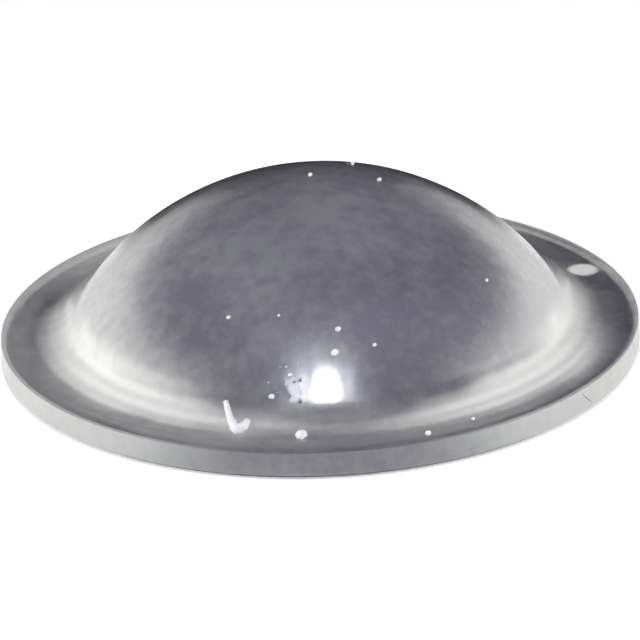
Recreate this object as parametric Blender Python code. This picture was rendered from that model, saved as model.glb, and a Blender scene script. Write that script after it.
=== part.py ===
"""Adhesive bumper foot: a clear domed bumper on a thin round brim, with a self-adhesive disc under it.

The frame is in metres with +Z up. The origin is the centre of the adhesive's lower face, so the foot
stands on the plane z = 0 with its dome upwards. Every shape is turned about the Z axis.
"""

from math import atan2, cos, pi, sin, sqrt

import bmesh
import bpy
from mathutils import Vector

# Driving dimensions, in metres
DOME_DIAMETER = 0.01023  # across the dome's curve where it would meet the brim's top
DOME_RISE = 0.00295  # from the brim's top to the crown
BRIM_WIDTH = 0.001235  # from the dome's curve to the brim's widest point
BRIM_THICKNESS = 0.00047
SIDE_DRAFT = 0.00011  # how far the brim's side leans inwards from its foot to its top
SIDE_EDGE_RADIUS = 0.00006  # rounding of the brim's upper edge
ROOT_FILLET_RADIUS = 0.0011  # hollow curve between the dome and the brim
ADHESIVE_THICKNESS = 0.0001
ADHESIVE_INSET = 0.00015  # from the brim's widest point to the adhesive's edge

# Flat ring that always stays between the root fillet and the brim's rounded edge
LEAST_FLAT = 0.0001

# How finely the curves are divided
TURN_STEPS = 96
DOME_STEPS = 14
FILLET_STEPS = 8
EDGE_STEPS = 3

# Colours as linear red, green, blue and alpha
CLEAR_GREY = (0.62, 0.62, 0.66, 1.0)
ADHESIVE_GREY = (0.16, 0.16, 0.18, 1.0)
POLYURETHANE_IOR = 1.5

# Sizes that follow from the driving dimensions
DOME_FOOT_RADIUS = DOME_DIAMETER / 2
BRIM_RADIUS = DOME_FOOT_RADIUS + BRIM_WIDTH
BRIM_TOP = ADHESIVE_THICKNESS + BRIM_THICKNESS
CROWN = BRIM_TOP + DOME_RISE
DOME_RADIUS = (DOME_FOOT_RADIUS**2 + DOME_RISE**2) / (2 * DOME_RISE)


def clear_scene():
    for thing in list(bpy.data.objects):
        bpy.data.objects.remove(thing)


def material(name, colour, roughness, transmission=0.0):
    made = bpy.data.materials.new(name)
    made.use_nodes = True
    made.diffuse_color = colour
    shader = made.node_tree.nodes["Principled BSDF"]
    shader.inputs["Base Color"].default_value = colour
    shader.inputs["Roughness"].default_value = roughness
    shader.inputs["Metallic"].default_value = 0.0
    shader.inputs["IOR"].default_value = POLYURETHANE_IOR
    shader.inputs["Transmission Weight"].default_value = transmission
    return made


def arc(centre, radius, start, end, steps):
    """Points (r, z) on a circle in the turning plane, from the angle start to the angle end."""
    points = []
    for step in range(steps + 1):
        angle = start + (end - start) * step / steps
        points.append((centre[0] + radius * cos(angle), centre[1] + radius * sin(angle)))
    return points


def fillet_reach(radius):
    """How far from the axis a root fillet of this radius meets the brim's top."""
    return sqrt(DOME_RISE * (2 * DOME_RADIUS + 2 * radius - DOME_RISE))


def root_fillet():
    """The root fillet's radius: the one asked for, or the largest that the brim's top has room for."""
    room = BRIM_RADIUS - SIDE_DRAFT - SIDE_EDGE_RADIUS - LEAST_FLAT
    largest = (room**2 / DOME_RISE + DOME_RISE) / 2 - DOME_RADIUS
    return min(ROOT_FILLET_RADIUS, largest)


def body_profile():
    """The body's outline (r, z) from the crown, down its outer side, to the centre of its underside."""
    fillet = root_fillet()
    dome_centre = (0.0, CROWN - DOME_RADIUS)
    fillet_centre = (fillet_reach(fillet), BRIM_TOP + fillet)
    join = atan2(fillet_centre[1] - dome_centre[1], fillet_centre[0])
    side_lean = atan2(SIDE_DRAFT, BRIM_THICKNESS)
    top_corner = BRIM_RADIUS - SIDE_DRAFT
    setback = SIDE_EDGE_RADIUS * (cos(side_lean) / (1 + sin(side_lean)))
    edge_centre = (top_corner - setback, BRIM_TOP - SIDE_EDGE_RADIUS)
    outline = arc(dome_centre, DOME_RADIUS, pi / 2, join, DOME_STEPS)
    outline += arc(fillet_centre, fillet, pi + join, 3 * pi / 2, FILLET_STEPS)[1:]
    outline += arc(edge_centre, SIDE_EDGE_RADIUS, pi / 2, side_lean, EDGE_STEPS)
    outline.append((BRIM_RADIUS, ADHESIVE_THICKNESS))
    outline.append((0.0, ADHESIVE_THICKNESS))
    return outline


def adhesive_profile():
    """The disc's outline (r, z) from the centre of its top, down its edge, to the centre of its underside."""
    radius = BRIM_RADIUS - ADHESIVE_INSET
    return [
        (0.0, ADHESIVE_THICKNESS),
        (radius, ADHESIVE_THICKNESS),
        (radius, 0.0),
        (0.0, 0.0),
    ]


def turned(name, outline, finish):
    """One closed solid: the outline, which starts and ends on the Z axis, turned all the way round."""
    weld = SIDE_EDGE_RADIUS / 1000
    shape = bmesh.new()
    points = [shape.verts.new((radius, 0.0, height)) for radius, height in outline]
    edges = [shape.edges.new(pair) for pair in zip(points, points[1:])]
    bmesh.ops.spin(
        shape,
        geom=points + edges,
        cent=Vector((0, 0, 0)),
        axis=Vector((0, 0, 1)),
        angle=2 * pi,
        steps=TURN_STEPS,
        use_merge=True,
    )
    bmesh.ops.remove_doubles(shape, verts=shape.verts, dist=weld)
    bmesh.ops.recalc_face_normals(shape, faces=shape.faces)
    mesh = bpy.data.meshes.new(name)
    shape.to_mesh(mesh)
    shape.free()
    mesh.shade_smooth()
    mesh.set_sharp_from_angle(angle=pi / 6)
    mesh.materials.append(finish)
    made = bpy.data.objects.new(name, mesh)
    bpy.context.scene.collection.objects.link(made)
    return made


def main():
    clear_scene()
    clear = material("clear_polyurethane", CLEAR_GREY, roughness=0.08, transmission=1.0)
    sticky = material("grey_adhesive", ADHESIVE_GREY, roughness=0.6)
    turned("bumper_body", body_profile(), clear)
    turned("adhesive_disc", adhesive_profile(), sticky)


main()
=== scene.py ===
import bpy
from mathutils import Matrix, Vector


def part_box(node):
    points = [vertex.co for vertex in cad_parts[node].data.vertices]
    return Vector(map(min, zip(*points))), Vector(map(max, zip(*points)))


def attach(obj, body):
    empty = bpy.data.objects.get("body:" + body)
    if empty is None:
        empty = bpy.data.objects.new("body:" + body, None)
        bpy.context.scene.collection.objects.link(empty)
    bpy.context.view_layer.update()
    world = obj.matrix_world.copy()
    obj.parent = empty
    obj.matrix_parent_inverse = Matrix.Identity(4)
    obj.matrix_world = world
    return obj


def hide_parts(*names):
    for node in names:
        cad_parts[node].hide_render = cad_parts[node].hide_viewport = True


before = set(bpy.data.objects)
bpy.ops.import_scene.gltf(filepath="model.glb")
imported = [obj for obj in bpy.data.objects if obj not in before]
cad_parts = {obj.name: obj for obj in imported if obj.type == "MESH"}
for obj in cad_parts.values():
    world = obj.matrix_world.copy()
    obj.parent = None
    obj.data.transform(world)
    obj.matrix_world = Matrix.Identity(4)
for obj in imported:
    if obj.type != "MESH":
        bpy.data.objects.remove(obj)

"""Adhesive bumper foot: a clear domed bumper on a thin round brim, stuck on a grey adhesive disc.

The frame is in metres with +Z up, and the foot's lower face lies on z = 0. Angles round the foot are
counted in degrees from +X towards +Y, and the camera looks from -Y.
"""

from math import cos, pi, radians, sin, tan

import bmesh
import bpy
from bpy.props import FloatProperty, FloatVectorProperty, IntProperty, PointerProperty
from mathutils import Euler, Vector

bl_info = {
    "name": "Adhesive bumper foot",
    "version": (1, 0, 0),
    "blender": (4, 5, 0),
    "location": "3D View > Sidebar > Bumper foot",
    "description": "Builds a clear self-adhesive bumper foot with its dust, marks and studio",
    "category": "Add Mesh",
}

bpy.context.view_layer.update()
BODY_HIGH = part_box("bumper_body")[1]
DISC_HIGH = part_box("adhesive_disc")[1]

MM = 0.001
PER_MM = 1000.0
# Points nearer to each other than this are one
WELD = 0.0005 * MM


def linear(code):
    """An sRGB hex colour as linear red, green, blue and alpha."""
    parts = [int(code[at : at + 2], 16) / 255 for at in (1, 3, 5)]
    return [part / 12.92 if part <= 0.04045 else ((part + 0.055) / 1.055) ** 2.4 for part in parts] + [1.0]


def length(name, description, default):
    """A property that holds a length in metres."""
    return FloatProperty(
        name=name,
        description=description,
        default=default,
        min=0.0,
        precision=5,
        subtype="DISTANCE",
        unit="LENGTH",
    )


def light_level(name, description, default):
    """A property that holds a radiance."""
    return FloatProperty(name=name, description=description, default=default, min=0.0)


def slant(name, description, default):
    """A property that holds an angle, given in degrees and kept in radians."""
    return FloatProperty(
        name=name,
        description=description,
        default=radians(default),
        subtype="ANGLE",
        unit="ROTATION",
    )


def colour(name, description, code):
    """A property that holds a colour, given as sRGB hex and kept linear."""
    return FloatVectorProperty(
        name=name,
        description=description,
        default=linear(code),
        min=0.0,
        max=1.0,
        size=4,
        subtype="COLOR",
    )


class FootSizes(bpy.types.PropertyGroup):
    """Sizes of the moulding and its adhesive"""

    brim_radius: length("Brim radius", "From the axis to the brim's widest point", BODY_HIGH[0])
    dome_foot: length("Dome foot radius", "Where the dome's curve would meet the brim's top", 5.115 * MM)
    dome_rise: length("Dome rise", "From the brim's top to the crown", 2.95 * MM)
    brim_thickness: length("Brim thickness", "Height of the brim's side", 0.44 * MM)
    side_draft: length("Side draft", "How far the brim's side leans in towards its top", 0.02 * MM)
    edge_radius: length("Edge radius", "Rounding of the brim's upper edge, nearly sharp", 0.005 * MM)
    root_fillet: length("Root fillet", "Hollow curve between the dome and the brim", 1.1 * MM)
    adhesive_top: length("Adhesive thickness", "Height of the adhesive's upper face", DISC_HIGH[2])
    adhesive_radius: length("Adhesive radius", "From the axis to the adhesive's edge", DISC_HIGH[0])
    waviness: length("Waviness", "Range of the slow waver in the cast skin", 0.004 * MM)
    ripple: length("Mould rings", "Height of the turning marks near the dome's foot", 0.0008 * MM)


class FootColours(bpy.types.PropertyGroup):
    """Colours of the finishes"""

    clear: colour("Polyurethane", "Tint of the clear moulding", "#F8F9F6")
    film: colour("Handling film", "Tint of the greasy film on the skin", "#B6B4C2")
    # The ring's pale matt colour is painted light where it stands in for the bright ring round the dome's
    # foot
    milky: colour("Milky ring", "Matt skin in the hollow round the dome's foot", "#F1F1EC")
    cut_side: colour("Brim's side", "Matt skin on the brim's side and upper edge", "#BDBEBB")
    adhesive: colour("Adhesive", "Main grey of the adhesive", "#A6A4AF")
    adhesive_dark: colour("Adhesive, wetted out", "Where the adhesive lies close on the moulding", "#8A8895")
    adhesive_light: colour("Adhesive, dry", "Where a little air lies under the moulding", "#BABAC0")
    dust: colour("Dust", "Dust and lint on the skin", "#F2F2F4")
    dark_lint: colour("Dark lint", "Dark grey lint on the skin", "#6C6C72")
    floor: colour("Floor", "Matt white sheet that the foot stands on", "#F6F6F6")


class FootStudio(bpy.types.PropertyGroup):
    """Light and camera"""

    wall_light: light_level("Side walls", "Radiance of the two side walls", 5.5)
    key_light: light_level("Key", "Radiance of the lamp in front", 25.0)
    room_light: light_level("Room", "Radiance of the room", 0.12)
    ceiling_light: light_level("Ceiling", "Radiance of the ceiling", 0.8)
    elevation: slant("Camera elevation", "How far the camera looks down", 23.22)
    roll: slant("Camera roll", "How far the camera leans to one side", 2.36)
    seed: IntProperty(name="Seed", description="Which scatter of dust the foot gets", default=7, min=0)


def add(tree, kind, inputs=(), **settings):
    """Add a node. An input, by place or by name, is a plain value, a socket, or a node's first output."""
    made = tree.nodes.new(kind)
    for name, value in settings.items():
        setattr(made, name, value)
    pairs = inputs.items() if isinstance(inputs, dict) else enumerate(inputs)
    for key, value in pairs:
        if value is None:
            continue
        if isinstance(value, bpy.types.Node):
            value = value.outputs[0]
        if isinstance(value, bpy.types.NodeSocket):
            tree.links.new(value, made.inputs[key])
        else:
            made.inputs[key].default_value = value
    return made


def label(name):
    """A property's name as the label of a tree's input."""
    return name.replace("_", " ").title()


def shape_tree(name, sockets):
    """A geometry tree with the named inputs, and the outputs of its input node by name."""
    tree = bpy.data.node_groups.new(name, "GeometryNodeTree")
    tree.interface.new_socket("Geometry", in_out="OUTPUT", socket_type="NodeSocketGeometry")
    tree.interface.new_socket("Geometry", in_out="INPUT", socket_type="NodeSocketGeometry")
    for label, kind in sockets.items():
        tree.interface.new_socket(label, in_out="INPUT", socket_type=kind)
    start = tree.nodes.new("NodeGroupInput")
    return tree, start.outputs


def finish_tree(tree, shape, finish):
    """End a geometry tree in real meshes that carry the finish."""
    real = add(tree, "GeometryNodeRealizeInstances", [shape])
    painted = add(tree, "GeometryNodeSetMaterial", {"Geometry": real, "Material": finish})
    add(tree, "NodeGroupOutput", [painted])


def grown(name, mesh, tree, values):
    """Run a geometry tree on a mesh and keep what it makes as a plain mesh in a new piece."""
    base = bpy.data.objects.new(name + ".base", mesh)
    bpy.context.scene.collection.objects.link(base)
    modifier = base.modifiers.new(tree.name, "NODES")
    modifier.node_group = tree
    for item in tree.interface.items_tree:
        if item.in_out == "INPUT" and item.name in values:
            modifier[item.identifier] = values[item.name]
    depsgraph = bpy.context.evaluated_depsgraph_get()
    made = bpy.data.meshes.new_from_object(base.evaluated_get(depsgraph), depsgraph=depsgraph)
    base.modifiers.remove(modifier)
    bpy.data.objects.remove(base)
    if not made.polygons:
        raise RuntimeError(f"{name} came out empty")
    made.name = name
    made.materials.clear()
    made.materials.append(values["Material"])
    for face in made.polygons:
        face.material_index = 0
    return piece(name, made)


def piece(name, mesh):
    """Link a mesh as a piece that rides with the foot."""
    made = bpy.data.objects.new(name, mesh)
    bpy.context.scene.collection.objects.link(made)
    bpy.context.view_layer.update()
    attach(made, "root")
    return made


def material(name):
    """A new node material, with its tree, its shader and the place on its object."""
    made = bpy.data.materials.new(name)
    made.use_nodes = True
    tree = made.node_tree
    place = add(tree, "ShaderNodeTexCoord").outputs["Object"]
    return made, tree, tree.nodes["Principled BSDF"], place


# Finishes


def moulded_polyurethane(colours):
    """Moulded clear polyurethane, a soft clear resin with the gloss of its own skin.

    The real one is poured into a mould and sets with a mirror skin, which handling dulls: so there is a
    sharp coat over a slightly hazy body, a thin greasy film in blotches a few tenths of a millimetre
    across, and fine scuffs where the front of the dome has been rubbed. A pale matt share is mixed in by
    place and lit by the lamps. On the brim's side and upper edge it is matt skin, but its share drops at
    the front and the far ends as painted shade. The pale ring in the hollow round the dome's foot and the
    pale patches at the very front, the back and the left of the brim are painted light: they stand in for
    light that the clear body throws there.
    """
    made, tree, shader, place = material("moulded_clear_polyurethane")
    blotches = add(
        tree,
        "ShaderNodeTexNoise",
        {"Vector": place, "Scale": PER_MM / 0.35, "Detail": 3.0, "Roughness": 0.6},
    )
    clouds = add(tree, "ShaderNodeTexNoise", {"Vector": place, "Scale": PER_MM / 3.0, "Detail": 1.0})
    mixed = add(tree, "ShaderNodeMath", [blotches, clouds], operation="ADD")
    film = add(tree, "ShaderNodeMapRange", {"Value": mixed, "From Min": 0.82, "From Max": 1.18})
    tint = add(
        tree,
        "ShaderNodeMix",
        {"Factor": film, "A": colours.clear, "B": colours.film},
        data_type="RGBA",
    )
    tree.links.new(tint.outputs["Result"], shader.inputs["Base Color"])
    # A rubbed patch low on the front of the dome: soft scuffs, with small dents that each catch the lamp
    rubbed = add(
        tree,
        "ShaderNodeVectorMath",
        [place, (-0.6 * MM, -4.78 * MM, 1.07 * MM)],
        operation="DISTANCE",
    )
    patch = add(
        tree,
        "ShaderNodeMapRange",
        {"Value": rubbed.outputs["Value"], "From Min": 0.8 * MM, "From Max": 0.2 * MM},
        interpolation_type="SMOOTHSTEP",
    )
    scuffs = add(
        tree,
        "ShaderNodeTexNoise",
        {"Vector": place, "Scale": PER_MM / 0.2, "Detail": 2.0, "Roughness": 0.5},
    )
    # Set over by a hair, so that a few dents fall on the lamp's reflection
    over = add(tree, "ShaderNodeVectorMath", [place, (0.0, 0.0, 0.03 * MM)], operation="ADD")
    cells = add(tree, "ShaderNodeTexVoronoi", {"Vector": over, "Scale": PER_MM / 0.11})
    dent = add(
        tree,
        "ShaderNodeMapRange",
        {"Value": cells.outputs["Distance"], "From Max": 0.42, "To Min": -1.0, "To Max": 0.0},
        interpolation_type="SMOOTHSTEP",
    )
    chosen = add(tree, "ShaderNodeSeparateColor", [cells.outputs["Color"]])
    some = add(tree, "ShaderNodeMath", [chosen.outputs[0], 0.3], operation="LESS_THAN")
    dents = add(tree, "ShaderNodeMath", [dent, some], operation="MULTIPLY")
    pores = add(tree, "ShaderNodeMath", [patch, 0.95, 0.05], operation="MULTIPLY_ADD")
    both = add(tree, "ShaderNodeMath", [scuffs, 0.5, dents], operation="MULTIPLY_ADD")
    relief = add(tree, "ShaderNodeMath", [both, pores], operation="MULTIPLY")
    bump = add(tree, "ShaderNodeBump", {"Strength": 1.0, "Distance": 0.01 * MM, "Height": relief})
    tree.links.new(bump.outputs["Normal"], shader.inputs["Coat Normal"])
    tree.links.new(bump.outputs["Normal"], shader.inputs["Normal"])
    rough = add(tree, "ShaderNodeMapRange", {"Value": film, "To Min": 0.28, "To Max": 0.34})
    hazy = add(tree, "ShaderNodeMath", [patch, 0.08, rough], operation="MULTIPLY_ADD")
    tree.links.new(hazy.outputs[0], shader.inputs["Roughness"])
    shader.inputs["IOR"].default_value = 1.55
    shader.inputs["Transmission Weight"].default_value = 1.0
    shader.inputs["Coat Weight"].default_value = 1.0
    shader.inputs["Coat Roughness"].default_value = 0.1
    shader.inputs["Coat IOR"].default_value = 1.5
    # What the matt places are read from: the distance from the axis, plain and ragged, the distance
    # to either side, the inner and outer edges of the ring, its fine arcs, the back, the dab and blotches
    spot = add(tree, "ShaderNodeSeparateXYZ", [place])
    x, y, z = spot.outputs
    flat = add(tree, "ShaderNodeCombineXYZ", [x, y])
    across = add(tree, "ShaderNodeVectorMath", [flat], operation="LENGTH").outputs["Value"]
    waver = add(tree, "ShaderNodeTexNoise", {"Vector": place, "Scale": PER_MM / 1.2, "Detail": 1.0})
    ragged = add(tree, "ShaderNodeMath", [waver, 0.3 * MM, -0.15 * MM], operation="MULTIPLY_ADD")
    soft = add(tree, "ShaderNodeMath", [across, ragged], operation="ADD")
    aside = add(tree, "ShaderNodeMath", [x], operation="ABSOLUTE")
    off = add(tree, "ShaderNodeMath", [x, 0.5 * MM], operation="SUBTRACT")
    off = add(tree, "ShaderNodeMath", [off], operation="ABSOLUTE")
    thin = add(
        tree,
        "ShaderNodeMapRange",
        {"Value": off, "From Max": 4.6 * MM, "To Min": 0.52 * MM, "To Max": 0.0},
    )
    inner = add(tree, "ShaderNodeMath", [soft, thin], operation="SUBTRACT")
    wide = add(tree, "ShaderNodeMath", [aside, -0.055, soft], operation="MULTIPLY_ADD")
    outer = add(tree, "ShaderNodeMath", [x, -0.02, wide], operation="MULTIPLY_ADD")
    pitch = 0.26 * MM
    turns = add(tree, "ShaderNodeMath", [across, 2 * pi / pitch], operation="MULTIPLY")
    lines = add(tree, "ShaderNodeMath", [turns], operation="SINE")
    lines = add(tree, "ShaderNodeMath", [lines, 0.5 * MM], operation="MULTIPLY")
    back = add(tree, "ShaderNodeMath", [x, -0.25, y], operation="MULTIPLY_ADD")
    dab = add(tree, "ShaderNodeVectorMath", [place, (5.36 * MM, 2.0 * MM, 0.55 * MM)], operation="DISTANCE")
    dab = add(tree, "ShaderNodeMath", [dab.outputs["Value"], ragged], operation="ADD")
    mottle = add(tree, "ShaderNodeMath", [blotches, MM], operation="MULTIPLY")
    # Each place is a product of shares: what one is read from, in millimetres from where to where, and from
    # what to what
    side = 6.26
    places = [
        # Pale matt ring in the hollow round the dome's foot, thin at the very front and weak at the right:
        # painted light, lit by the lamps, that stands in for the bright ring of light round the dome
        [
            (inner, 4.54, 5.0, 0.0, 0.84),
            (outer, 5.2, 5.66, 1.0, 0.3),
            (soft, 5.9, 6.25, 1.0, 0.3),
            (x, 5.0, 6.1, 1.0, 0.05),
            (aside, 0.3, 3.6, 0.5, 1.0),
            (y, -3.0, 0.4, 1.0, 0.25),
            (y, 0.4, 1.6, 1.0, 0.15),
            (lines, -0.5, 0.5, 0.84, 1.0),
        ],
        # Pale matt share between the ring and the dome at the very front: painted light that lifts the shaded
        # adhesive there
        [
            (soft, 4.85, 5.1, 0.0, 0.16),
            (outer, 5.3, 5.6, 1.0, 0.0),
            (aside, 0.8, 2.2, 1.0, 0.0),
            (y, -1.0, 0.0, 1.0, 0.0),
        ],
        # The back of the brim, most at its left: painted light, a pale matt share standing in for a band of
        # light there
        [(back, 2.0, 5.5, 0.0, 0.42), (soft, 5.2, 5.6, 0.0, 1.0)],
        # Pale matt patches on the left of the brim: painted light that lightens it there
        [(soft, 5.5, 5.9, 0.0, 0.24), (x, -5.2, -3.0, 1.0, 0.0), (mottle, 0.1, 0.9, 0.3, 1.0)],
        # A dried dab on the right of the brim
        [(dab, 0.16, 0.33, 0.9, 0.0)],
        # The brim's upper edge and its side are matt skin; the share drops at the very front and the far ends
        # as painted shade, which leaves them clearer and darker there
        [
            (across, 6.23, 6.27, 0.0, 0.7),
            (across, 6.33, 6.36, 1.0, 0.0),
            (aside, 1.2, 3.8, 0.2, 1.0),
            (x, 5.0, 5.9, 1.0, 0.3),
        ],
        [(across, side, 6.3, 0.0, 0.78), (aside, 1.4, 4.2, 0.1, 1.0), (aside, 5.8, 6.35, 1.0, 0.5)],
    ]
    skin_foot = 0.105
    # The largest share of all places: partly matt skin, partly painted light and painted shade, as said at
    # each place
    matt = 0.0
    for ranges in places:
        share = add(tree, "ShaderNodeMath", [z, skin_foot * MM], operation="GREATER_THAN")
        for value, start, stop, low, high in ranges:
            ends = {"From Min": start * MM, "From Max": stop * MM, "To Min": low, "To Max": high}
            part = add(tree, "ShaderNodeMapRange", {"Value": value, **ends}, interpolation_type="SMOOTHSTEP")
            share = add(tree, "ShaderNodeMath", [share, part], operation="MULTIPLY")
        matt = add(tree, "ShaderNodeMath", [matt, share], operation="MAXIMUM")
    at_side = add(tree, "ShaderNodeMath", [across, side * MM], operation="GREATER_THAN")
    shade = add(
        tree,
        "ShaderNodeMix",
        {"Factor": at_side, "A": colours.milky, "B": colours.cut_side},
        data_type="RGBA",
    )
    # Pale matt skin lit by the lamps; in the ring and the pale patches it is painted light
    milky = add(
        tree,
        "ShaderNodeBsdfPrincipled",
        {"Base Color": shade.outputs["Result"], "Roughness": 0.45, "Normal": bump.outputs["Normal"]},
    )
    skin = add(tree, "ShaderNodeMixShader", [matt, shader, milky])
    tree.links.new(skin.outputs[0], tree.nodes["Material Output"].inputs["Surface"])
    return made


def coated_adhesive(colours):
    """Acrylic pressure-sensitive adhesive, roller-coated and wetted out against the moulding.

    It lies grey and dull behind the clear body. Where it has not quite wetted out it is paler and a
    little green, and elsewhere darker and a little purple, in patches of half a millimetre and more.
    """
    made, tree, shader, place = material("roller_coated_grey_acrylic_adhesive")
    broad = add(tree, "ShaderNodeTexNoise", {"Vector": place, "Scale": PER_MM / 2.6, "Detail": 2.0})
    fine = add(
        tree,
        "ShaderNodeTexNoise",
        {"Vector": place, "Scale": PER_MM / 0.4, "Detail": 3.0, "Roughness": 0.65},
    )
    patches = add(
        tree,
        "ShaderNodeMapRange",
        {"Value": broad, "From Min": 0.35, "From Max": 0.62},
        interpolation_type="SMOOTHSTEP",
    )
    wetted = add(
        tree,
        "ShaderNodeMix",
        {"Factor": patches, "A": colours.adhesive_dark, "B": colours.adhesive},
        data_type="RGBA",
    )
    specks = add(
        tree,
        "ShaderNodeMapRange",
        {"Value": fine, "From Min": 0.42, "From Max": 0.7, "To Max": 0.7},
    )
    base = add(
        tree,
        "ShaderNodeMix",
        {"Factor": specks, "A": wetted.outputs["Result"], "B": colours.adhesive_light},
        data_type="RGBA",
    )
    tree.links.new(base.outputs["Result"], shader.inputs["Base Color"])
    bump = add(tree, "ShaderNodeBump", {"Strength": 0.3, "Distance": 0.01 * MM, "Height": fine})
    tree.links.new(bump.outputs["Normal"], shader.inputs["Normal"])
    shader.inputs["Roughness"].default_value = 0.55
    return made


def settled_dust(colours):
    """House dust and paper lint, dull white and loose, with a little shade from fibre to fibre."""
    kept = bpy.data.materials.get("settled_dust_and_lint")
    if kept:
        return kept
    made, tree, shader, place = material("settled_dust_and_lint")
    grain = add(tree, "ShaderNodeTexNoise", {"Vector": place, "Scale": PER_MM / 0.05, "Detail": 2.0})
    shade = add(tree, "ShaderNodeMapRange", {"Value": grain, "From Min": 0.3, "From Max": 0.7, "To Min": 0.7})
    base = add(
        tree,
        "ShaderNodeMix",
        {"Factor": shade, "A": linear("#9A9AA0"), "B": colours.dust},
        data_type="RGBA",
    )
    tree.links.new(base.outputs["Result"], shader.inputs["Base Color"])
    bump = add(tree, "ShaderNodeBump", {"Strength": 0.6, "Distance": 0.01 * MM, "Height": grain})
    tree.links.new(bump.outputs["Normal"], shader.inputs["Normal"])
    shader.inputs["Roughness"].default_value = 0.9
    shader.inputs["Subsurface Weight"].default_value = 0.2
    shader.inputs["Subsurface Radius"].default_value = (0.05 * MM, 0.05 * MM, 0.05 * MM)
    return made


def dark_lint(colours):
    """A dark grey fibre and its crumbs, matt, with a little shade along them."""
    made, tree, shader, place = material("dark_grey_lint")
    grain = add(tree, "ShaderNodeTexNoise", {"Vector": place, "Scale": PER_MM / 0.08, "Detail": 2.0})
    base = add(
        tree,
        "ShaderNodeMix",
        {"Factor": grain, "A": colours.dark_lint, "B": linear("#9C9CA2")},
        data_type="RGBA",
    )
    tree.links.new(base.outputs["Result"], shader.inputs["Base Color"])
    shader.inputs["Roughness"].default_value = 0.85
    return made


# The clear body


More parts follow.
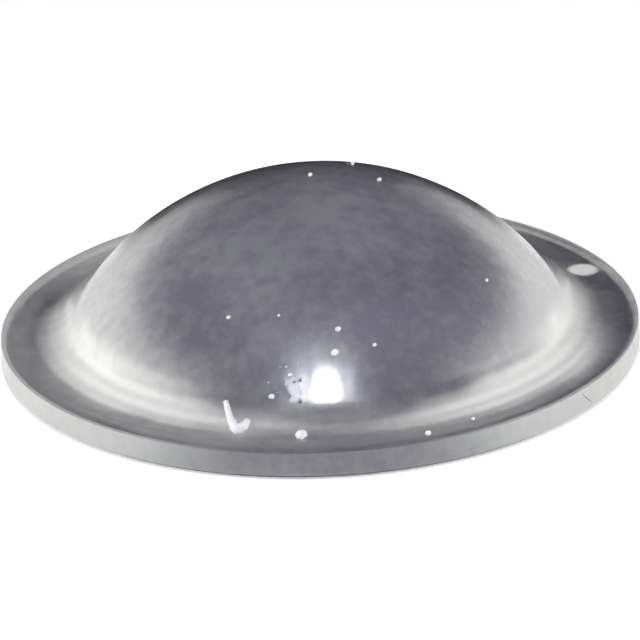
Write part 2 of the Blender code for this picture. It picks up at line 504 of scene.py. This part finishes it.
def body_tree():
    """The moulding turned from its outline: dome, root fillet, brim, rounded edge, side and underside.

    The underside dips by the seat's depth into the adhesive, so that no film of air shows between them.
    """
    kinds = {label(name): "NodeSocketFloat" for name in FootSizes.__annotations__}
    kinds["Seat Depth"] = "NodeSocketFloat"
    kinds["Turn Steps"] = "NodeSocketInt"
    kinds["Material"] = "NodeSocketMaterial"
    tree, size = shape_tree("turned_body", kinds)

    # Each step: its name, what is worked out, and its terms: numbers, inputs and earlier steps
    steps = [
        ("brim top", "ADD", "Adhesive Top", "Brim Thickness"),
        ("crown", "ADD", "brim top", "Dome Rise"),
        ("foot squared", "MULTIPLY", "Dome Foot", "Dome Foot"),
        ("squares", "MULTIPLY_ADD", "Dome Rise", "Dome Rise", "foot squared"),
        ("twice rise", "MULTIPLY", "Dome Rise", 2.0),
        ("dome radius", "DIVIDE", "squares", "twice rise"),
        ("dome height", "SUBTRACT", "crown", "dome radius"),
        ("both radii", "ADD", "dome radius", "Root Fillet"),
        ("less rise", "MULTIPLY", "Dome Rise", -1.0),
        ("spread", "MULTIPLY_ADD", "both radii", 2.0, "less rise"),
        ("reach squared", "MULTIPLY", "Dome Rise", "spread"),
        ("reach", "SQRT", "reach squared"),
        ("fillet height", "ADD", "brim top", "Root Fillet"),
        ("fillet above dome", "SUBTRACT", "fillet height", "dome height"),
        ("join", "ARCTAN2", "fillet above dome", "reach"),
        ("dome sweep", "SUBTRACT", "join", pi / 2),
        ("fillet start", "ADD", "join", pi),
        ("fillet sweep", "SUBTRACT", pi / 2, "join"),
        ("lean", "ARCTAN2", "Side Draft", "Brim Thickness"),
        ("lean cosine", "COSINE", "lean"),
        ("lean sine", "SINE", "lean"),
        ("one and sine", "ADD", "lean sine", 1.0),
        ("slope", "DIVIDE", "lean cosine", "one and sine"),
        ("setback", "MULTIPLY", "Edge Radius", "slope"),
        ("corner", "SUBTRACT", "Brim Radius", "Side Draft"),
        ("edge across", "SUBTRACT", "corner", "setback"),
        ("edge height", "SUBTRACT", "brim top", "Edge Radius"),
        ("edge sweep", "SUBTRACT", "lean", pi / 2),
        ("edge end across", "MULTIPLY_ADD", "Edge Radius", "lean cosine", "edge across"),
        ("edge end height", "MULTIPLY_ADD", "Edge Radius", "lean sine", "edge height"),
        ("seat", "SUBTRACT", "Adhesive Top", "Seat Depth"),
        ("inwards", "MULTIPLY", "Brim Radius", -1.0),
        ("skin foot", "ADD", "Adhesive Top", 0.01 * MM),
    ]
    known = {socket.name: socket for socket in size}
    for name, operation, *terms in steps:
        values = [known[term] if isinstance(term, str) else term for term in terms]
        known[name] = add(tree, "ShaderNodeMath", values, operation=operation)

    # Each arc: its centre's place across and up, radius, first angle, angle swept, and points
    arcs = [
        (0.0, "dome height", "dome radius", pi / 2, "dome sweep", 72),
        ("reach", "fillet height", "Root Fillet", "fillet start", "fillet sweep", 44),
        ("edge across", "edge height", "Edge Radius", pi / 2, "edge sweep", 4),
    ]
    outline = add(tree, "GeometryNodeJoinGeometry")
    for terms in arcs:
        values = [known[term] if isinstance(term, str) else term for term in terms]
        across, height, radius, first, swept, points = values
        arc = add(
            tree,
            "GeometryNodeCurveArc",
            {"Resolution": points, "Radius": radius, "Start Angle": first, "Sweep Angle": swept},
            mode="RADIUS",
        )
        centre = add(tree, "ShaderNodeCombineXYZ", [across, height])
        placed = add(tree, "GeometryNodeTransform", {"Geometry": arc, "Translation": centre})
        tree.links.new(placed.outputs[0], outline.inputs[0])
    # Each run of straight lines: the places across and up of its ends
    runs = [
        [("reach", "brim top"), ("edge across", "brim top")],
        [
            ("edge end across", "edge end height"),
            ("Brim Radius", "Adhesive Top"),
            ("Adhesive Radius", "Adhesive Top"),
            ("Adhesive Radius", "seat"),
            (None, "seat"),
        ],
    ]
    for run in runs:
        places = [[known.get(across), known[height]] for across, height in run]
        ends = [add(tree, "ShaderNodeCombineXYZ", place) for place in places]
        for first, last in zip(ends, ends[1:]):
            line = add(tree, "GeometryNodeCurvePrimitiveLine", {"Start": first, "End": last})
            tree.links.new(line.outputs[0], outline.inputs[0])

    loose = add(tree, "GeometryNodeCurveToMesh", [outline])
    welded = add(tree, "GeometryNodeMergeByDistance", {"Geometry": loose, "Distance": WELD})
    profile = add(tree, "GeometryNodeMeshToCurve", [welded])
    path = add(
        tree,
        "GeometryNodeCurvePrimitiveCircle",
        {"Resolution": size["Turn Steps"], "Radius": size["Brim Radius"]},
        mode="RADIUS",
    )
    inset = add(tree, "ShaderNodeCombineXYZ", [known["inwards"]])
    # The circle carries the outline upside down, so it is hung that way and its faces are turned back
    upended = (1.0, -1.0, 1.0)
    hung = add(tree, "GeometryNodeTransform", {"Geometry": profile, "Translation": inset, "Scale": upended})
    swept = add(tree, "GeometryNodeCurveToMesh", {"Curve": path, "Profile Curve": hung})
    swept = add(tree, "GeometryNodeFlipFaces", {"Mesh": swept})
    closed = add(tree, "GeometryNodeMergeByDistance", {"Geometry": swept, "Distance": WELD})

    # The cast skin: a slow waver all over, and turning marks of the mould near the dome's foot
    place = add(tree, "GeometryNodeInputPosition")
    parts = add(tree, "ShaderNodeSeparateXYZ", [place])
    waver = add(
        tree,
        "ShaderNodeTexNoise",
        {"Vector": place, "Scale": PER_MM / 1.7, "Detail": 2.0, "Roughness": 0.45},
    )
    waver = add(tree, "ShaderNodeMath", [waver, 0.5], operation="SUBTRACT")
    waver = add(tree, "ShaderNodeMath", [waver, size["Waviness"]], operation="MULTIPLY")
    flat = add(tree, "ShaderNodeCombineXYZ", [parts.outputs[0], parts.outputs[1]])
    across = add(tree, "ShaderNodeVectorMath", [flat], operation="LENGTH").outputs["Value"]
    pitch = 0.21 * MM
    turns = add(tree, "ShaderNodeMath", [across, 2 * pi / pitch], operation="MULTIPLY")
    ripple = add(tree, "ShaderNodeMath", [turns], operation="SINE")
    for start, stop in ((4.9, 5.2), (5.8, 5.5)):
        near = add(
            tree,
            "ShaderNodeMapRange",
            {"Value": across, "From Min": start * MM, "From Max": stop * MM},
            interpolation_type="SMOOTHSTEP",
        )
        ripple = add(tree, "ShaderNodeMath", [ripple, near], operation="MULTIPLY")
    stray = add(tree, "ShaderNodeMath", [ripple, size["Ripple"], waver], operation="MULTIPLY_ADD")
    above = add(tree, "ShaderNodeMath", [parts.outputs[2], known["skin foot"]], operation="GREATER_THAN")
    stray = add(tree, "ShaderNodeMath", [stray, above], operation="MULTIPLY")
    normal = add(tree, "GeometryNodeInputNormal")
    offset = add(tree, "ShaderNodeVectorMath", {0: normal, "Scale": stray}, operation="SCALE")
    wavy = add(tree, "GeometryNodeSetPosition", {"Geometry": closed, "Offset": offset})
    smooth = add(tree, "GeometryNodeSetShadeSmooth", {"Geometry": wavy, "Shade Smooth": True}, domain="FACE")
    crease = pi / 6
    bend = add(tree, "GeometryNodeInputMeshEdgeAngle")
    creased = add(tree, "ShaderNodeMath", [bend, crease], operation="GREATER_THAN")
    crisp = add(
        tree,
        "GeometryNodeSetShadeSmooth",
        {"Geometry": smooth, "Selection": creased, "Shade Smooth": False},
        domain="EDGE",
    )
    finish_tree(tree, crisp, size["Material"])
    return tree


class FOOT_OT_clear_body(bpy.types.Operator):
    """Build the clear moulding in place of its plain solid"""

    bl_idname = "foot.clear_body"
    bl_label = "Clear body"

    def execute(self, context):
        sizes = context.scene.foot_sizes
        values = {label(name): getattr(sizes, name) for name in FootSizes.__annotations__}
        values["Seat Depth"] = 0.02 * MM
        values["Turn Steps"] = 256
        values["Material"] = moulded_polyurethane(context.scene.foot_colours)
        body = grown("clear_body", bpy.data.meshes.new("outline"), body_tree(), values)
        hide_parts("bumper_body")
        return {"FINISHED"}


class FOOT_OT_adhesive(bpy.types.Operator):
    """Give the adhesive disc its finish"""

    bl_idname = "foot.adhesive"
    bl_label = "Adhesive"

    def execute(self, context):
        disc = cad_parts["adhesive_disc"]
        disc.material_slots[0].material = coated_adhesive(context.scene.foot_colours)
        return {"FINISHED"}


# Dust and marks


def on_body(across, deep):
    """The point and the normal of the clear body's upper side at this place."""
    body = bpy.data.objects["clear_body"]
    above = 10 * MM
    hit, point, normal, _ = body.ray_cast(Vector((across, deep, above)), Vector((0, 0, -1)))
    if not hit:
        raise RuntimeError("a mark lies off the body")
    return point, normal


def dust_tree():
    """Grains scattered over a body's upper side, and one on each point of the mesh that it starts from."""
    kinds = {
        "Body": "NodeSocketObject",
        "Grain Size": "NodeSocketFloat",
        "Grains per Area": "NodeSocketFloat",
        "Seed": "NodeSocketInt",
        "Material": "NodeSocketMaterial",
    }
    tree, size = shape_tree("dust_grains", kinds)
    body = add(tree, "GeometryNodeObjectInfo", {"Object": size["Body"]})
    normal = add(tree, "GeometryNodeInputNormal")
    upward = add(tree, "ShaderNodeSeparateXYZ", [normal])
    least_up = 0.1
    facing_up = add(tree, "ShaderNodeMath", [upward.outputs[2], least_up], operation="GREATER_THAN")
    scatter = add(
        tree,
        "GeometryNodeDistributePointsOnFaces",
        {
            "Mesh": body.outputs["Geometry"],
            "Selection": facing_up,
            "Density": size["Grains per Area"],
            "Seed": size["Seed"],
        },
    )
    smallest, largest = 0.3, 0.5
    size_of = add(tree, "FunctionNodeRandomValue", {2: smallest, 3: largest, "Seed": size["Seed"]})
    sized = add(
        tree,
        "GeometryNodeStoreNamedAttribute",
        {"Geometry": scatter, "Name": "size", "Value": size_of.outputs[1]},
        data_type="FLOAT",
        domain="POINT",
    )
    marked = add(tree, "GeometryNodeMeshToPoints", {"Mesh": size["Geometry"]})
    points = add(tree, "GeometryNodeJoinGeometry")
    tree.links.new(sized.outputs[0], points.inputs[0])
    tree.links.new(marked.outputs[0], points.inputs[0])
    ball = add(tree, "GeometryNodeMeshIcoSphere", {"Radius": 0.5, "Subdivisions": 2})
    lumps = add(
        tree,
        "ShaderNodeTexNoise",
        {"Vector": add(tree, "GeometryNodeInputPosition"), "Scale": 1.6, "Detail": 1.0},
    )
    swell = add(tree, "ShaderNodeMath", [lumps, -0.5], operation="ADD")
    outward = add(
        tree,
        "ShaderNodeVectorMath",
        {0: add(tree, "GeometryNodeInputPosition"), "Scale": swell},
        operation="SCALE",
    )
    grain = add(tree, "GeometryNodeSetPosition", {"Geometry": ball, "Offset": outward})
    full_turn = 6.28
    turn = add(
        tree,
        "FunctionNodeRandomValue",
        {1: (full_turn, full_turn, full_turn), "Seed": 3},
        data_type="FLOAT_VECTOR",
    )
    own = add(tree, "GeometryNodeInputNamedAttribute", {"Name": "size"})
    wide = add(tree, "ShaderNodeMath", [own, size["Grain Size"]], operation="MULTIPLY")
    grains = add(
        tree,
        "GeometryNodeInstanceOnPoints",
        {"Points": points, "Instance": grain, "Rotation": turn.outputs[0], "Scale": wide},
    )
    finish_tree(tree, grains, size["Material"])
    return tree


# Grains that show in the photograph: distance from the axis in millimetres, angle, and width in grains
MARKED_GRAINS = [
    (5.55, 265.5, 4.0),
    (3.93, 275.0, 2.0),
    (4.22, 284.0, 1.4),
    (3.80, 243.0, 1.5),
    (3.69, 258.0, 1.0),
    (3.83, 328.0, 1.3),
    (0.38, 100.0, 1.5),
    (1.32, 13.0, 1.6),
    (1.67, 62.0, 1.3),
    (5.97, 289.0, 2.0),
    (5.80, 299.0, 1.3),
    (4.81, 258.5, 2.0),
    (4.27, 273.5, 2.6),
    (4.55, 262.5, 1.4),
]


class FOOT_OT_dust(bpy.types.Operator):
    """Scatter dust over the body"""

    bl_idname = "foot.dust"
    bl_label = "Dust"

    def execute(self, context):
        mesh = bpy.data.meshes.new("grain_places")
        places = []
        for across, around, _ in MARKED_GRAINS:
            turn = radians(around)
            point, normal = on_body(across * MM * cos(turn), across * MM * sin(turn))
            places.append(point + normal * 0.01 * MM)
        mesh.from_pydata(places, [], [])
        widths = mesh.attributes.new("size", "FLOAT", "POINT")
        for place, (_, _, wide) in zip(widths.data, MARKED_GRAINS):
            place.value = wide
        values = {
            "Body": bpy.data.objects["clear_body"],
            "Grain Size": 0.055 * MM,
            "Grains per Area": 35 / (10.0 * MM) ** 2,
            "Seed": context.scene.foot_studio.seed,
            "Material": settled_dust(context.scene.foot_colours),
        }
        grown("dust_grains", mesh, dust_tree(), values)
        return {"FINISHED"}


def tube(name, points, radii, finish):
    """A closed tube with eight sides, with its own radius at each of its points."""
    curve = bpy.data.curves.new(name, "CURVE")
    curve.dimensions = "3D"
    curve.bevel_depth = 1.0
    curve.bevel_resolution = 2
    curve.use_fill_caps = True
    spline = curve.splines.new("POLY")
    spline.points.add(len(points) - 1)
    for knot, point, radius in zip(spline.points, points, radii):
        knot.co = (*point, 1.0)
        knot.radius = radius
    base = bpy.data.objects.new(name, curve)
    bpy.context.scene.collection.objects.link(base)
    depsgraph = bpy.context.evaluated_depsgraph_get()
    mesh = bpy.data.meshes.new_from_object(base.evaluated_get(depsgraph), depsgraph=depsgraph)
    bpy.data.objects.remove(base)
    shape = bmesh.new()
    shape.from_mesh(mesh)
    bmesh.ops.remove_doubles(shape, verts=shape.verts, dist=WELD)
    bmesh.ops.recalc_face_normals(shape, faces=shape.faces)
    shape.to_mesh(mesh)
    shape.free()
    mesh.name = name
    mesh.materials.clear()
    mesh.materials.append(finish)
    mesh.shade_smooth()
    return piece(name, mesh)


class FOOT_OT_marks(bpy.types.Operator):
    """Lay the pale fibre, the dark hair and the dark crumb on the body"""

    bl_idname = "foot.marks"
    bl_label = "Lint and marks"

    def execute(self, context):
        colours = context.scene.foot_colours
        # The fibre's corners across and towards the back, and its radius at each, in millimetres
        corners = [(-1.83, -4.56), (-1.76, -4.86), (-1.64, -5.22), (-1.50, -5.14), (-1.42, -4.97)]
        thick = [0.05, 0.065, 0.105, 0.095, 0.05]
        steps = 6
        points = []
        radii = []
        for (start, end), (thin, fat) in zip(zip(corners, corners[1:]), zip(thick, thick[1:])):
            for step in range(steps):
                part = step / steps
                across = start[0] + (end[0] - start[0]) * part
                deep = start[1] + (end[1] - start[1]) * part
                point, normal = on_body(across * MM, deep * MM)
                points.append(point + normal * 0.015 * MM)
                radii.append((thin + (fat - thin) * part) * MM)
        tube("lint_fibre", points, radii, settled_dust(colours))
        # A dark hair up the side of the brim, and a dark crumb of it on the dome. The hair's points: the
        # distance from the axis in millimetres, the angle, and the height in millimetres
        hair = [(6.335, 321.4, 0.47), (6.34, 322.3, 0.365), (6.345, 323.4, 0.25), (6.349, 324.6, 0.155)]
        dark = dark_lint(colours)
        points = []
        for across, around, height in hair:
            turn = radians(around)
            points.append(Vector((across * cos(turn), across * sin(turn), height)) * MM)
        tube("dark_hair", points, [0.005 * MM, 0.009 * MM, 0.009 * MM, 0.005 * MM], dark)
        point, _ = on_body(-0.83 * MM, -4.70 * MM)
        aside = Vector((0.03 * MM, 0, 0))
        tube("dark_crumb", [point - aside, point, point + aside], [0.03 * MM, 0.045 * MM, 0.03 * MM], dark)
        return {"FINISHED"}


# Studio


def glow(name, across, tall, radiance):
    """A flat lamp that the camera doesn't see, its tree, and the places along and up its face."""
    light = bpy.data.lights.new(name, "AREA")
    light.shape = "RECTANGLE"
    light.size = across
    light.size_y = tall
    light.energy = pi * across * tall * radiance
    lamp = bpy.data.objects.new(name, light)
    lamp.rotation_mode = "QUATERNION"
    lamp.visible_camera = False
    bpy.context.scene.collection.objects.link(lamp)
    light.use_nodes = True
    tree = light.node_tree
    place = add(tree, "ShaderNodeSeparateXYZ", [add(tree, "ShaderNodeTexCoord").outputs["UV"]])
    return lamp, tree, place.outputs[0], place.outputs[1]


def side_wall(side, radiance):
    """A glowing wall beside the foot, brightest level with it, and dying away upwards and to the back.

    Places along the wall and heights on it are counted in shares of its distance from the foot.
    """
    away = 0.06
    first = -1.3 * away
    last = 6.0 * away
    tall = 1.5 * away
    lamp, tree, along, up = glow("side_wall", last - first, tall, radiance)
    lamp.location = (side * away, (first + last) / 2, tall / 2 + 0.2 * MM)
    lamp.rotation_quaternion = Vector((side, 0, 0)).to_track_quat("Z", "Y")
    bpy.context.view_layer.update()
    forwards = (lamp.matrix_world.to_3x3() @ Vector((1, 0, 0))).y > 0
    near, far = (first, last) if forwards else (last, first)
    deep = add(tree, "ShaderNodeMath", [along, (far - near) / away, near / away], operation="MULTIPLY_ADD")
    square = add(tree, "ShaderNodeMath", [deep, deep], operation="MULTIPLY")
    under = add(tree, "ShaderNodeMath", [square, 1.0, 1.0], operation="MULTIPLY_ADD")
    level = add(tree, "ShaderNodeMath", [1.0, under], operation="DIVIDE")
    # The wall is lowest just behind the foot and taller both ways from there, and height counts in
    # shares of that: forwards and backwards, the difference that grows that way, and the slope
    top = 0.57 if side < 0 else 0.5
    for whole, less, slope in ((0.3, deep, 0.27), (deep, 1.2, 0.3)):
        past = add(tree, "ShaderNodeMath", [whole, less], operation="SUBTRACT")
        past = add(tree, "ShaderNodeMath", [past, 0.0], operation="MAXIMUM")
        top = add(tree, "ShaderNodeMath", [past, slope, top], operation="MULTIPLY_ADD")
    high = add(tree, "ShaderNodeMath", [up, tall / away], operation="MULTIPLY")
    high = add(tree, "ShaderNodeMath", [high, top], operation="DIVIDE")
    # The top dies away in two steps: most of it soon, and behind the foot some of it slowly
    slow = add(
        tree,
        "ShaderNodeMapRange",
        {"Value": deep, "From Min": 0.6, "From Max": 2.0, "To Min": 0.06, "To Max": 0.3},
        interpolation_type="SMOOTHSTEP",
    )
    level_top = 0.0
    for share, start, stop in ((0.75, 1.42, 0.62), (slow, 2.3, 0.9)):
        soft = add(
            tree,
            "ShaderNodeMapRange",
            {"Value": high, "From Min": start, "From Max": stop, "To Max": share},
            interpolation_type="SMOOTHSTEP",
        )
        level_top = add(tree, "ShaderNodeMath", [soft, level_top], operation="ADD")
    level = add(tree, "ShaderNodeMath", [level, level_top], operation="MULTIPLY")
    # Soft ends: the front end and the back end, as place, where it starts and where it stops
    for spot, start, stop in ((deep, -1.3, -0.5), (deep, 6.0, 4.0)):
        soft = add(
            tree,
            "ShaderNodeMapRange",
            {"Value": spot, "From Min": start, "From Max": stop},
            interpolation_type="SMOOTHSTEP",
        )
        level = add(tree, "ShaderNodeMath", [level, soft], operation="MULTIPLY")
    tree.links.new(level.outputs[0], tree.nodes["Emission"].inputs["Strength"])
    tree.nodes["Emission"].inputs["Color"].default_value = linear("#FFFFFA")


def key_lamp(radiance):
    """A small soft box in front of the foot and above the camera, narrower at its top, in a paler spill."""
    away = 0.1
    across = 2 * away * tan(radians(14.0))
    tall = 2 * away * tan(radians(15.0))
    lamp, tree, along, up = glow("key", across, tall, radiance)
    height = radians(57.0)
    towards = Vector((0, -cos(height), sin(height)))
    lamp.location = towards * away + Vector((0, 0, MM))
    lamp.rotation_quaternion = towards.to_track_quat("Z", "Y")
    # Each part: its middle and half its width as shares of the lamp, how far it narrows upwards, its soft
    # edge, its level, and where up the lamp it has died away and where it starts to
    parts = [
        (0.55, 0.27, 0.28, 0.04, 1.0, 0.6, 0.36),
        (0.26, 0.035, 0.0, 0.03, 1.0, 0.62, 0.3),
        (0.12, 0.045, 0.0, 0.03, 0.9, 0.52, 0.25),
        (0.85, 0.05, 0.0, 0.07, 0.4, 0.6, 0.35),
        (0.47, 0.42, 0.1, 0.22, 0.12, 1.0, 0.45),
    ]
    level = 0.0
    for middle, wide, narrower, edge, share, gone, full in parts:
        off = add(tree, "ShaderNodeMath", [along, middle], operation="SUBTRACT")
        off = add(tree, "ShaderNodeMath", [off], operation="ABSOLUTE")
        off = add(tree, "ShaderNodeMath", [up, narrower, off], operation="MULTIPLY_ADD")
        beside = add(
            tree,
            "ShaderNodeMapRange",
            {"Value": off, "From Min": wide + edge, "From Max": wide - edge, "To Max": share},
            interpolation_type="SMOOTHSTEP",
        )
        below = add(
            tree,
            "ShaderNodeMapRange",
            {"Value": up, "From Min": gone, "From Max": full},
            interpolation_type="SMOOTHSTEP",
        )
        part = add(tree, "ShaderNodeMath", [beside, below], operation="MULTIPLY")
        level = add(tree, "ShaderNodeMath", [level, part], operation="MAXIMUM")
    tree.links.new(level.outputs[0], tree.nodes["Emission"].inputs["Strength"])
    tree.nodes["Emission"].inputs["Color"].default_value = linear("#F2F4FF")


def floor(code):
    """A matt white acrylic sheet. Its slight gloss carries the side walls' light into the brim's side."""
    mesh = bpy.data.meshes.new("floor")
    half = 1.5
    corners = [(-half, -half, 0), (half, -half, 0), (half, half, 0), (-half, half, 0)]
    mesh.from_pydata(corners, [], [(0, 1, 2, 3)])
    made, tree, shader, place = material("matt_white_acrylic_sheet")
    grain = add(tree, "ShaderNodeTexNoise", {"Vector": place, "Scale": PER_MM / 1.5, "Detail": 2.0})
    satin = add(
        tree,
        "ShaderNodeMapRange",
        {"Value": grain, "From Min": 0.3, "From Max": 0.7, "To Min": 0.28, "To Max": 0.32},
    )
    tree.links.new(satin.outputs[0], shader.inputs["Roughness"])
    shader.inputs["Base Color"].default_value = code
    # What the camera sees of it, straight, mirrored or through the foot, is lifted to white
    lift = 0.38
    ray = add(tree, "ShaderNodeLightPath")
    seen = 0.0
    for kind in ("Is Camera Ray", "Is Glossy Ray", "Is Transmission Ray"):
        seen = add(tree, "ShaderNodeMath", [seen, ray.outputs[kind]], operation="MAXIMUM")
    lift = add(tree, "ShaderNodeMath", [seen, lift], operation="MULTIPLY")
    tree.links.new(lift.outputs[0], shader.inputs["Emission Strength"])
    shader.inputs["Emission Color"].default_value = linear("#FFFFFF")
    mesh.materials.append(made)
    sheet = bpy.data.objects.new("floor", mesh)
    # A hair's breadth under the foot, so that their faces don't share a plane
    sheet.location.z = -0.01 * MM
    bpy.context.scene.collection.objects.link(sheet)


def room(low, high):
    """A dim room under a paler ceiling, and white behind whatever the camera sees past the floor."""
    world = bpy.data.worlds.new("room")
    bpy.context.scene.world = world
    world.use_nodes = True
    tree = world.node_tree
    ray = add(tree, "ShaderNodeLightPath")
    height = add(tree, "ShaderNodeSeparateXYZ", [add(tree, "ShaderNodeTexCoord").outputs["Generated"]])
    ceiling = add(
        tree,
        "ShaderNodeMapRange",
        {
            "Value": height.outputs[2],
            "From Min": sin(radians(17.0)),
            "From Max": sin(radians(32.0)),
            "To Min": low,
            "To Max": high,
        },
        interpolation_type="SMOOTHSTEP",
    )
    level = add(
        tree,
        "ShaderNodeMapRange",
        {"Value": ray.outputs["Is Camera Ray"], "To Min": ceiling, "To Max": 1.0},
    )
    tree.links.new(level.outputs[0], tree.nodes["Background"].inputs["Strength"])


def flag():
    """A black card laid behind the foot, out of the picture, that only reflections see.

    It takes the floor's white off the dome's upper edge and leaves it on the flanks.
    """
    near = 6.6 * MM
    far = 1400.0 * MM
    start = 4.4 * MM
    spread = tan(radians(20.0))
    lying = 0.02 * MM
    mesh = bpy.data.meshes.new("black_flag")
    corners = [(-1, near), (1, near), (1, far), (-1, far)]
    reach = [(side * (start + deep * spread), deep, lying) for side, deep in corners]
    mesh.from_pydata(reach, [], [(0, 1, 2, 3)])
    made, tree, shader, place = material("black_felt_card")
    shader.inputs["Base Color"].default_value = linear("#1A1A1C")
    shader.inputs["Roughness"].default_value = 1.0
    shader.inputs["Specular IOR Level"].default_value = 0.0
    spot = add(tree, "ShaderNodeSeparateXYZ", [place])
    aside = add(tree, "ShaderNodeMath", [spot.outputs[0]], operation="ABSOLUTE")
    # It clears towards its sides, along borders that spread and soften away from the foot
    edge = add(tree, "ShaderNodeMath", [spot.outputs[1], 0.27, 1.6 * MM], operation="MULTIPLY_ADD")
    past = add(tree, "ShaderNodeMath", [aside, edge], operation="SUBTRACT")
    soft = add(tree, "ShaderNodeMath", [spot.outputs[1], 0.12, 0.8 * MM], operation="MULTIPLY_ADD")
    clear = add(tree, "ShaderNodeMath", [past, soft], operation="DIVIDE", use_clamp=True)
    through = add(tree, "ShaderNodeMixShader", [clear, shader, add(tree, "ShaderNodeBsdfTransparent")])
    tree.links.new(through.outputs[0], tree.nodes["Material Output"].inputs["Surface"])
    mesh.materials.append(made)
    card = bpy.data.objects.new("black_flag", mesh)
    bpy.context.scene.collection.objects.link(card)
    card.visible_camera = False
    card.visible_diffuse = False
    card.visible_transmission = False
    card.visible_shadow = False


def camera(brim, elevation, roll):
    """The photograph's view: a long lens, a little above the foot and leaning slightly.

    The distance and the point that the camera looks at are counted in brim radii.
    """
    away = 14.0
    looked_at = Vector((0.0018, 0, 0.0827))
    lens = bpy.data.cameras.new("camera")
    made = bpy.data.objects.new("camera", lens)
    bpy.context.scene.collection.objects.link(made)
    sensor = 36.0
    brim_pixels = 319.4
    picture_pixels = 640.0
    lens.lens = sensor * brim_pixels * away / picture_pixels
    lens.clip_start = MM
    lens.clip_end = 10.0
    towards = Vector((0, -cos(elevation), sin(elevation)))
    made.location = looked_at * brim + towards * away * brim
    made.rotation_mode = "QUATERNION"
    made.rotation_quaternion = towards.to_track_quat("Z", "Y") @ Euler((0, 0, -roll)).to_quaternion()
    bpy.context.scene.camera = made
    bpy.context.scene.view_settings.view_transform = "Standard"


class FOOT_OT_studio(bpy.types.Operator):
    """Set up the floor, the lamps, the room and the camera"""

    bl_idname = "foot.studio"
    bl_label = "Studio"

    def execute(self, context):
        studio = context.scene.foot_studio
        floor(context.scene.foot_colours.floor)
        for side in (-1, 1):
            side_wall(side, studio.wall_light)
        key_lamp(studio.key_light)
        room(studio.room_light, studio.ceiling_light)
        flag()
        camera(context.scene.foot_sizes.brim_radius, studio.elevation, studio.roll)
        return {"FINISHED"}


OPERATORS = (FOOT_OT_clear_body, FOOT_OT_adhesive, FOOT_OT_dust, FOOT_OT_marks, FOOT_OT_studio)
SETTINGS = {"foot_sizes": FootSizes, "foot_colours": FootColours, "foot_studio": FootStudio}


class FOOT_PT_panel(bpy.types.Panel):
    """Sizes, colours and light of the foot, and a button for each of its pieces"""

    bl_idname = "FOOT_PT_panel"
    bl_label = "Bumper foot"
    bl_space_type = "VIEW_3D"
    bl_region_type = "UI"
    bl_category = "Bumper foot"

    def draw(self, context):
        for name, group in SETTINGS.items():
            box = self.layout.box()
            for entry in group.__annotations__:
                box.prop(getattr(context.scene, name), entry)
        for operator in OPERATORS:
            self.layout.operator(operator.bl_idname)


def register():
    for group in SETTINGS.values():
        bpy.utils.register_class(group)
    for operator in OPERATORS:
        bpy.utils.register_class(operator)
    bpy.utils.register_class(FOOT_PT_panel)
    for name, group in SETTINGS.items():
        setattr(bpy.types.Scene, name, PointerProperty(type=group))


def unregister():
    for name in SETTINGS:
        delattr(bpy.types.Scene, name)
    bpy.utils.unregister_class(FOOT_PT_panel)
    for operator in reversed(OPERATORS):
        bpy.utils.unregister_class(operator)
    for group in reversed(SETTINGS.values()):
        bpy.utils.unregister_class(group)


def main():
    register()
    bpy.ops.foot.clear_body()
    bpy.ops.foot.adhesive()
    bpy.ops.foot.dust()
    bpy.ops.foot.marks()
    bpy.ops.foot.studio()


if __name__ == "__main__":
    main()
